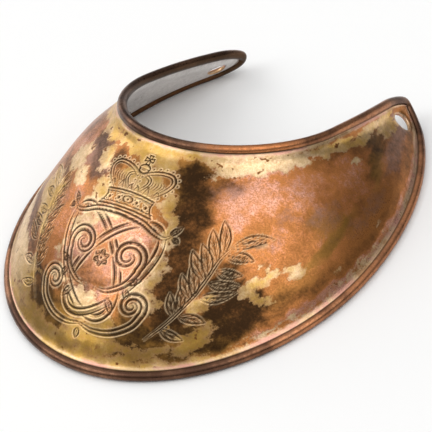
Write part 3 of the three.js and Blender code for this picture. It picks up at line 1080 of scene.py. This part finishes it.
class Finish:
    """The three metals of the plate, with the node groups that they share."""

    def __init__(self, colours):
        self.colours = colours
        self.ragged = ragged_patch_group()
        self.pitting = pitting_group()
        self.grain = rubbed_grain_group()

    def metal(self, name, grain_scale):
        """A new metal: the material, its nodes and the outputs of its grain."""
        material = bpy.data.materials.new(name)
        material.use_nodes = True
        material.node_tree.nodes["Principled BSDF"].inputs["Metallic"].default_value = 1.0
        nodes = Nodes(material.node_tree)
        return material, nodes, nodes.group(self.grain, Scale=grain_scale)

    def finish(self, nodes, colour, roughness, height, distance):
        """Joins colour, roughness and a bump of that distance to the metal's shader."""
        shader = nodes.tree.nodes["Principled BSDF"]
        bump = nodes.add("ShaderNodeBump", None, Height=height, Distance=distance, Strength=1.0)
        nodes.feed(shader.inputs["Base Color"], colour)
        nodes.feed(shader.inputs["Roughness"], roughness)
        nodes.feed(shader.inputs["Normal"], bump.outputs[0])

    def bare_copper(self, n, grain, mottle, blotch):
        """Bright, pink and brown copper in clouds, the bright and pink partly a painted highlight,
        with olive stains that are partly painted shade, and grey stains.
        """
        c = self.colours
        # The blush field: partly rubbed copper, partly a painted highlight.
        blush = n.strayed(n.attribute("blush"), grain["Cloud"], 0.9)
        blush = n.strayed(blush, grain["Blotch"], 1.1)
        rosy = n.times(n.ramp(grain["Cloud"], 0.32, 0.56), n.ramp(blush, 0.5, 1.0))
        hazy = n.strayed(n.attribute("haze"), grain["Blotch"], 1.2)
        return n.layers(
            n.mix(n.ramp(blush, 0.0, 0.9), c.brown_copper, c.bright_copper),
            (n.times(rosy, 0.92), c.rosy_copper),
            (n.lack(mottle, 0.62), toned(c.brown_copper, 0.6)),
            (n.lack(blotch, 0.45), c.brown_copper),
            (n.ramp(grain["Cloud"], 0.34, 0.5, 0.45, 0.0), toned(c.brown_copper, 0.5)),
            # Olive: partly stain, partly painted shade.
            (n.times(n.attribute("olive"), 0.75), c.olive),
            (n.ramp(hazy, 0.1, 0.9, 0.0, 0.85), c.haze))

    def gilding(self, n, grain, mottle, blotch, depth):
        """Yellow gilding, pale where it is rubbed and where highlight is painted, deep olive where
        stain and painted shade lie, and pink where it is thin.
        """
        c = self.colours
        # Pale gilt in clouds and in the blush field, which is partly a painted highlight.
        pale = n.total(grain["Cloud"], (n.attribute("blush"), 0.4))
        return n.layers(
            n.mix(n.ramp(pale, 0.38, 0.72), c.gilt, c.pale_gilt),
            # Deep olive gilt: partly stain, partly painted shade.
            (n.times(n.attribute("olive"), 0.85), c.deep_gilt),
            (n.lack(depth, 0.42), toned(c.rosy_copper, 0.62)),
            (n.lack(mottle, 0.25), c.brown_copper),
            (n.lack(blotch, 0.34), c.deep_gilt))

    def front(self):
        """Gilding worn through to copper, with brown and black tarnish and engraved lines, a pale line
        beside the beads that is partly a painted highlight, and painted shade in the creases at the
        beads.
        """
        c = self.colours
        material, n, grain = self.metal("worn_gilt_copper_with_painted_light", 2400.0)
        mottle = n.ramp(grain["Grain"], 0.4, 0.6)
        blotch = n.ramp(grain["Blotch"], 0.38, 0.62)
        # Tarnish; its band from the neck down is partly a painted dark reflection, its streak on the
        # right wing partly painted shade.
        tarnish = n.group(self.ragged, Field=n.attribute("tarnish"), Scale=230.0,
                          Raggedness=0.95, Softness=0.55)["Mask"]
        gilt = n.group(self.ragged, Field=n.attribute("gilding"), Scale=360.0, Raggedness=1.45,
                       Softness=0.16)
        pits = n.group(self.pitting, Scale=520.0, Amount=0.7)["Mask"]
        spots = n.group(self.pitting, Scale=260.0, Amount=0.6)["Mask"]
        copper = n.mix(tarnish, self.bare_copper(n, grain, mottle, blotch), c.tarnish)
        gold = n.layers(
            self.gilding(n, grain, mottle, blotch, gilt["Depth"]),
            (pits, toned(c.brown_copper, 0.4)),
            (spots, toned(c.brown_copper, 0.5)),
            (n.times(tarnish, 0.5), toned(c.tarnish, 1.4)))
        groove, crease = n.attribute("groove"), n.attribute("crease")
        # The pale line beside the beads, partly rubbed metal and partly a painted highlight; round the
        # holes, rubbed metal.
        rubbed = n.ramp(n.strayed(crease, grain["Blotch"], 0.5), 0.16, 0.42)
        rubbed = n.times(rubbed, n.ramp(grain["Cloud"], 0.36, 0.5, 0.35, 0.95))
        rub_and_highlight_colour = n.mix(n.ramp(grain["Cloud"], 0.4, 0.6), toned(c.pale_gilt, 0.8),
                              toned(c.rosy_copper, 0.85))
        surface = n.layers(
            n.mix(gilt["Mask"], copper, gold),
            (n.ramp(groove, 0.1, 0.74, 0.0, 0.93), c.groove_dirt_and_crease_shade),
            # Pale gilt on the raised burr beside each line: partly burnished metal, partly a painted
            # highlight.
            (n.times(n.attribute("burr"), 0.55), c.pale_gilt),
            (rubbed, rub_and_highlight_colour),
            # Painted shade in the creases right at the beads.
            (n.ramp(crease, 0.76, 0.96, 0.0, 0.8), c.groove_dirt_and_crease_shade))
        roughness = n.total(
            c.copper_roughness,
            (tarnish, 0.12),
            (gilt["Mask"], c.gilt_roughness - c.copper_roughness),
            (n.maths("SUBTRACT", 0.5, mottle), 0.12),
            (groove, 0.2))
        height = n.total(grain["Grain"], (grain["Lines"], 0.5), (gilt["Mask"], 0.6), (pits, -0.8),
                         (grain["Cloud"], 7.0))
        self.finish(n, surface, n.maths("MAXIMUM", roughness, 0.15), height, 0.015 * MM)
        return material

    def bead(self):
        """Red-brown copper, rubbed bright in clouds and brighter where the blush field, partly a
        painted highlight, lies; painted shade darkens its crease with the front and its outer and back
        half.
        """
        c = self.colours
        material, n, grain = self.metal("rubbed_copper_bead_with_painted_light", 1300.0)
        blush, roll = n.attribute("blush"), n.attribute("roll")
        mottle = n.ramp(grain["Grain"], 0.34, 0.62)
        rubbed = n.ramp(n.total(grain["Cloud"], (blush, 0.3)), 0.42, 0.78)
        # Brighter copper in the blush field: partly rubbed, partly a painted highlight.
        bright = n.times(blush, n.ramp(grain["Cloud"], 0.3, 0.55, 0.3, 0.9))
        # Painted shade: dark at the crease with the front and over the bead's outer and back half.
        painted_bead_shade = n.maths("ADD", n.ramp(roll, 0.0, 0.08, 1.0, 0.0), n.ramp(roll, 0.36, 0.66))
        copper = n.layers(
            n.mix(rubbed, c.bead_brown, toned(c.bead_copper, 1.3)),
            (bright, toned(c.bright_copper, 0.8)),
            (n.lack(mottle, 0.3), toned(c.tarnish, 2.0)),
            (n.times(painted_bead_shade, 0.8), c.groove_dirt_and_crease_shade))
        roughness = n.maths("ADD", n.lack(mottle, 0.16), 0.27)
        height = n.total(grain["Grain"], (grain["Cloud"], 3.0))
        self.finish(n, copper, roughness, height, 0.02 * MM)
        return material

    def back(self):
        """The tinned inner face: satin grey, darker and warmer towards its edges and round the holes.
        """
        c = self.colours
        material, n, grain = self.metal("tinned_back", 1100.0)
        n.tree.nodes["Principled BSDF"].inputs["Metallic"].default_value = 0.35
        cloud = n.ramp(grain["Cloud"], 0.32, 0.7)
        mottle = n.ramp(grain["Grain"], 0.36, 0.64)
        near_edges = n.strayed(n.attribute("crease"), grain["Cloud"], 0.8)
        pits = n.group(self.pitting, Scale=700.0, Amount=0.55)["Mask"]
        tin = n.layers(
            n.mix(cloud, c.tin, toned(c.tin, 0.72)),
            (n.lack(mottle, 0.22), c.tin_stain),
            (n.ramp(near_edges, 0.12, 0.85, 0.0, 0.9), c.tin_stain),
            (n.times(pits, 0.7), toned(c.tarnish, 2.5)))
        height = n.total(grain["Grain"], (grain["Cloud"], 4.0), (grain["Lines"], 0.6))
        self.finish(n, tin, n.total(0.38, (cloud, 0.14)), height, 0.02 * MM)
        return material


# Settings that the panel shows. Lengths are in metres unless they say otherwise.

def number(name, description, default, **kind):
    return bpy.props.FloatProperty(name=name, description=description, default=default, **kind)


def length(name, description, default):
    return number(name, description, default, unit="LENGTH")


def factor(name, description, default):
    return number(name, description, default, subtype="FACTOR")


def power(name, description, default):
    return number(name, description, default, unit="POWER")


def colour(name, description, default):
    return bpy.props.FloatVectorProperty(name=name, description=description, default=default,
                                         subtype="COLOR", size=3, min=0, max=1)


class GorgetPlateSizes(bpy.types.PropertyGroup):
    rim_half_width: length(
        "Rim half width", "Half the width across the middle of the rim bead", 0.0536)
    rim_front_reach: length("Rim front reach", "From the widest point forward to the rim", 0.0604)
    rim_back_reach: length(
        "Rim back reach", "Length of the half ellipse that the horns follow", 0.0692)
    rim_end_angle: number(
        "Rim end angle", "Where the rim's last full section lies", math.radians(136),
        subtype="ANGLE")
    neck_half_width: length("Neck half width", "Half the width of the neck opening", 0.0316)
    neck_front_reach: length(
        "Neck front reach", "From the opening's widest point to its front", 0.029)
    neck_back_reach: length("Neck back reach", "Length of the half ellipse along the horns", 0.0695)
    neck_end_angle: number(
        "Neck end angle", "Where the neck edge's last full section lies", math.radians(112),
        subtype="ANGLE")
    neck_set_back: length("Neck set back", "How far back the opening's widest point lies", 0.0225)
    neck_front_height: length(
        "Neck front height", "Height of the neck edge over the rim in front", 0.0339)
    neck_horn_height: length("Neck horn height", "Height of the neck edge at the horns", 0.0111)
    neck_fall_evenness: factor(
        "Evenness of the fall", "Share of the neck edge's fall that is straight", 0.83)
    tip_reach: length("Tip reach", "Length of the horn's rounded tip", 0.0084)
    tip_across: factor("Tip across", "Where the tip lies between neck edge and rim", 0.33)
    sheet_thickness: length("Sheet thickness", "Thickness of the raised sheet", 0.0009)
    bead_radius: length("Bead radius", "Radius of the rolled edge", 0.00135)
    hole_radius: length("Hole radius", "Radius of the lacing holes", 0.0028)
    hole_from_tip: length("Hole from tip", "From the horn's tip to the middle of its hole", 0.0086)
    hole_across: factor("Hole across", "Where the hole lies between neck edge and rim", 0.52)
    hole_dish: length("Hole dish", "How deep the sheet is pressed in round the holes", 0.0003)
    flare_depth: length("Flare depth", "How far the neck edge is lifted by the flare", 0.0008)
    flare_width: length("Flare width", "Width of the hollow below the neck bead", 0.0033)
    flare_run: length("Flare run", "How far down the flare's hollow runs out", 0.015)
    fillet_depth: length("Rim hollow", "Depth of the hollow along the rim bead", 0.00018)
    engraving_depth: length("Engraving depth", "Depth of the engraved lines", 0.0003)


class GorgetFinishColours(bpy.types.PropertyGroup):
    gilt: colour("Gilt", "Yellow of the gilding", (0.74, 0.46, 0.125))
    # Pale gilt also lies on the burrs and in the pale line beside the beads, there partly a painted
    # highlight.
    pale_gilt: colour("Pale gilt", "Thin, rubbed gilding", (0.93, 0.685, 0.41))
    # Deep gilt and the olive stain lie where the olive field is: partly stain, partly painted shade.
    deep_gilt: colour("Deep gilt", "Gilding in the olive stains", (0.38, 0.225, 0.035))
    # Bright and rosy copper lie where the blush field is: partly rubbed copper, partly a painted
    # highlight.
    bright_copper: colour("Bright copper", "Rubbed copper", (0.72, 0.265, 0.095))
    rosy_copper: colour("Rosy copper", "Pinkish clouds in the copper", (0.78, 0.40, 0.30))
    brown_copper: colour("Brown copper", "Toned copper", (0.52, 0.205, 0.06))
    olive: colour("Olive stain", "Olive bands in the copper", (0.27, 0.16, 0.03))
    haze: colour("Haze", "Grey bloom on the copper", (0.33, 0.18, 0.13))
    tarnish: colour("Tarnish", "Darkest tarnish", (0.042, 0.021, 0.009))
    # Dirt in the lines, and also the painted shade in the creases at the beads and over the bead's
    # outer and back half.
    groove_dirt_and_crease_shade: colour("Groove dirt", "Dirt in lines and creases", (0.05, 0.03, 0.015))
    bead_copper: colour("Bead copper", "Rubbed places of the bead", (0.34, 0.175, 0.10))
    bead_brown: colour("Bead brown", "Toned places of the bead", (0.105, 0.052, 0.034))
    tin: colour("Tin", "Tinned back", (0.94, 0.90, 0.87))
    tin_stain: colour("Tin stain", "Stains of the back", (0.27, 0.19, 0.155))
    copper_roughness: factor("Copper roughness", "Gloss of the bare copper", 0.33)
    gilt_roughness: factor("Gilt roughness", "Gloss of the gilding", 0.34)


class GorgetStageSettings(bpy.types.PropertyGroup):
    floor_colour: colour("Floor", "Colour of the floor", (0.97, 0.97, 0.965))
    backdrop: factor("Backdrop", "Brightness of the surround where the camera sees it", 0.6)
    sky_light: factor("Light from above", "Brightness of the surround overhead", 0.85)
    horizon_light: factor("Light at the horizon", "Brightness of the surround at the horizon", 0.08)
    left_light: power("Left softbox", "Power of the softbox in front on the left", 3.5)
    side_light: power("Side softbox", "Power of the softbox far out on the left", 1.8)
    right_light: power("Right softbox", "Power of the softbox above on the right", 3.2)
    focal_length: number("Focal length", "The camera's focal length in millimetres", 217.5)


class GORGET_OT_plate(bpy.types.Operator):
    """Builds the engraved plate with its rolled edge and lacing holes."""
    bl_idname = "gorget.plate"
    bl_label = "Plate"

    def execute(self, context):
        form = PlateForm(context.scene.gorget_plate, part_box(PLATE_NODE))
        chart = Chart(form)
        cuts = crown() + scrollwork() + laurel_spray()
        holes = hole_centres(form)
        bm = blank_sheet(form.sizes.tip_across)
        pierce_holes(bm, form, holes)
        double_and_close(bm)
        refine_ornament(bm, chart, cuts)
        sort_faces(bm)
        flat = flat_coordinates(bm.verts)
        fields = surface_fields(form, chart, cuts, flat)
        engraving = fields["groove"] - BURR_HEIGHT * fields["burr"]
        engraving = form.sizes.engraving_depth / MM * engraving
        for vert, point in zip(bm.verts, formed(form, flat, engraving)):
            vert.co = point
        snap_holes(bm, form, holes)
        bmesh.ops.recalc_face_normals(bm, faces=bm.faces)
        mesh = bpy.data.meshes.new(PIECE_NAME)
        bm.to_mesh(mesh)
        bm.free()
        for name, values in fields.items():
            mesh.attributes.new(name, "FLOAT", "POINT").data.foreach_set(
                "value", values.astype(np.float32))
        finish = Finish(context.scene.gorget_finish)
        for material in (finish.front(), finish.bead(), finish.back()):
            mesh.materials.append(material)
        plate = bpy.data.objects.new(PIECE_NAME, mesh)
        context.scene.collection.objects.link(plate)
        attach(plate, "root")
        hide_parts(PLATE_NODE)
        return {"FINISHED"}


# The stage, in metres: the floor, the point that camera and softboxes face, and the camera

FLOOR_HALF_WIDTH = 9.0
FLOOR_ROUGHNESS = 0.8
VIEW_TARGET = Vector((0.0087, -0.0034, 0.0098))
SENSOR_WIDTH_MM = 36
CAMERA_DISTANCE = 0.6999
CAMERA_AZIMUTH = math.radians(47.34)
CAMERA_ELEVATION = math.radians(40.32)
CAMERA_ROLL = math.radians(-16.76)

# Softboxes: name, the setting of its power, place, width. All of them stand farther out than
# their place by the same factor, and are as much larger, which lights the floor evenly.
SOFTBOXES = [
    ("left_softbox", "left_light", (-0.66, -0.56, 0.8), 0.8),
    ("side_softbox", "side_light", (-0.95, 0.2, 0.4), 0.6),
    ("right_softbox", "right_light", (0.62, -0.07, 0.95), 1.0),
]
LAMP_REACH = 2.3


class GORGET_OT_stage(bpy.types.Operator):
    """Sets the floor, the soft studio lights and the camera."""
    bl_idname = "gorget.stage"
    bl_label = "Stage"

    def execute(self, context):
        scene = context.scene
        settings = scene.gorget_stage
        bm = bmesh.new()
        bmesh.ops.create_grid(bm, x_segments=1, y_segments=1, size=FLOOR_HALF_WIDTH)
        mesh = bpy.data.meshes.new("stage_floor")
        bm.to_mesh(mesh)
        bm.free()
        floor = bpy.data.objects.new("stage_floor", mesh)
        scene.collection.objects.link(floor)
        paint = bpy.data.materials.new("pale floor")
        paint.use_nodes = True
        shader = paint.node_tree.nodes["Principled BSDF"]
        shader.inputs["Base Color"].default_value = (*settings.floor_colour, 1)
        shader.inputs["Roughness"].default_value = FLOOR_ROUGHNESS
        mesh.materials.append(paint)
        scene.world = soft_studio(settings)
        scene.view_settings.view_transform = "Standard"
        for name, setting, place, width in SOFTBOXES:
            lamp = bpy.data.lights.new(name, "AREA")
            lamp.size = width * LAMP_REACH
            lamp.energy = getattr(settings, setting) * LAMP_REACH ** 2
            light = bpy.data.objects.new(name, lamp)
            toward_lamp = Vector(place) - VIEW_TARGET
            light.location = VIEW_TARGET + toward_lamp * LAMP_REACH
            light.rotation_euler = toward_lamp.to_track_quat("Z", "Y").to_euler()
            scene.collection.objects.link(light)
        aim_camera(scene, settings.focal_length)
        return {"FINISHED"}


def soft_studio(settings):
    """A pale surround that lights the object from above and leaves the horizon dim."""
    world = bpy.data.worlds.new("soft studio")
    world.use_nodes = True
    nodes = Nodes(world.node_tree)
    backdrop = nodes.tree.nodes["Background"]
    backdrop.inputs["Color"].default_value = (1, 1, 1, 1)
    way = nodes.add("ShaderNodeTexCoord").outputs["Generated"]
    height = nodes.add("ShaderNodeSeparateXYZ", None, Vector=way).outputs["Z"]
    strength = nodes.ramp(height, 0.1, 0.85, settings.horizon_light, settings.sky_light)
    seen = nodes.add("ShaderNodeLightPath").outputs["Is Camera Ray"]
    plain = nodes.times(seen, settings.backdrop)
    nodes.feed(backdrop.inputs["Strength"], nodes.maths("MAXIMUM", strength, plain))
    return world


def aim_camera(scene, focal_length):
    """The photograph's view: right of the front, from above, with the image turned a little."""
    flat_share = math.cos(CAMERA_ELEVATION)
    toward = Vector((math.sin(CAMERA_AZIMUTH) * flat_share, -math.cos(CAMERA_AZIMUTH) * flat_share,
                     math.sin(CAMERA_ELEVATION)))
    level = Vector((0, 0, 1)).cross(toward).normalized()
    raised = toward.cross(level)
    right = level * math.cos(CAMERA_ROLL) + raised * math.sin(CAMERA_ROLL)
    up = raised * math.cos(CAMERA_ROLL) - level * math.sin(CAMERA_ROLL)
    lens = bpy.data.cameras.new("photo_camera")
    lens.sensor_width = SENSOR_WIDTH_MM
    lens.lens = focal_length
    lens.clip_start, lens.clip_end = 0.01, 10
    camera = bpy.data.objects.new("photo_camera", lens)
    rotation = Matrix((right, up, toward)).transposed().to_4x4()
    camera.matrix_world = Matrix.Translation(VIEW_TARGET + toward * CAMERA_DISTANCE) @ rotation
    scene.collection.objects.link(camera)
    scene.camera = camera


class GORGET_PT_panel(bpy.types.Panel):
    """Lists the pieces and their sizes."""
    bl_idname = "GORGET_PT_panel"
    bl_label = "Gorget"
    bl_space_type = "VIEW_3D"
    bl_region_type = "UI"
    bl_category = "Gorget"

    def draw(self, context):
        scene = context.scene
        for operator, groups in ((GORGET_OT_plate, (scene.gorget_plate, scene.gorget_finish)),
                                 (GORGET_OT_stage, (scene.gorget_stage,))):
            box = self.layout.box()
            box.operator(operator.bl_idname)
            for settings in groups:
                for name in settings.bl_rna.properties.keys():
                    if name not in ("rna_type", "name"):
                        box.prop(settings, name)


CLASSES = (GorgetPlateSizes, GorgetFinishColours, GorgetStageSettings, GORGET_OT_plate,
           GORGET_OT_stage, GORGET_PT_panel)


def register():
    for cls in CLASSES:
        bpy.utils.register_class(cls)
    bpy.types.Scene.gorget_plate = bpy.props.PointerProperty(type=GorgetPlateSizes)
    bpy.types.Scene.gorget_finish = bpy.props.PointerProperty(type=GorgetFinishColours)
    bpy.types.Scene.gorget_stage = bpy.props.PointerProperty(type=GorgetStageSettings)


def unregister():
    del bpy.types.Scene.gorget_stage
    del bpy.types.Scene.gorget_finish
    del bpy.types.Scene.gorget_plate
    for cls in reversed(CLASSES):
        bpy.utils.unregister_class(cls)


def main():
    register()
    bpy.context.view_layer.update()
    bpy.ops.gorget.plate()
    bpy.ops.gorget.stage()


if __name__ == "__main__":
    main()
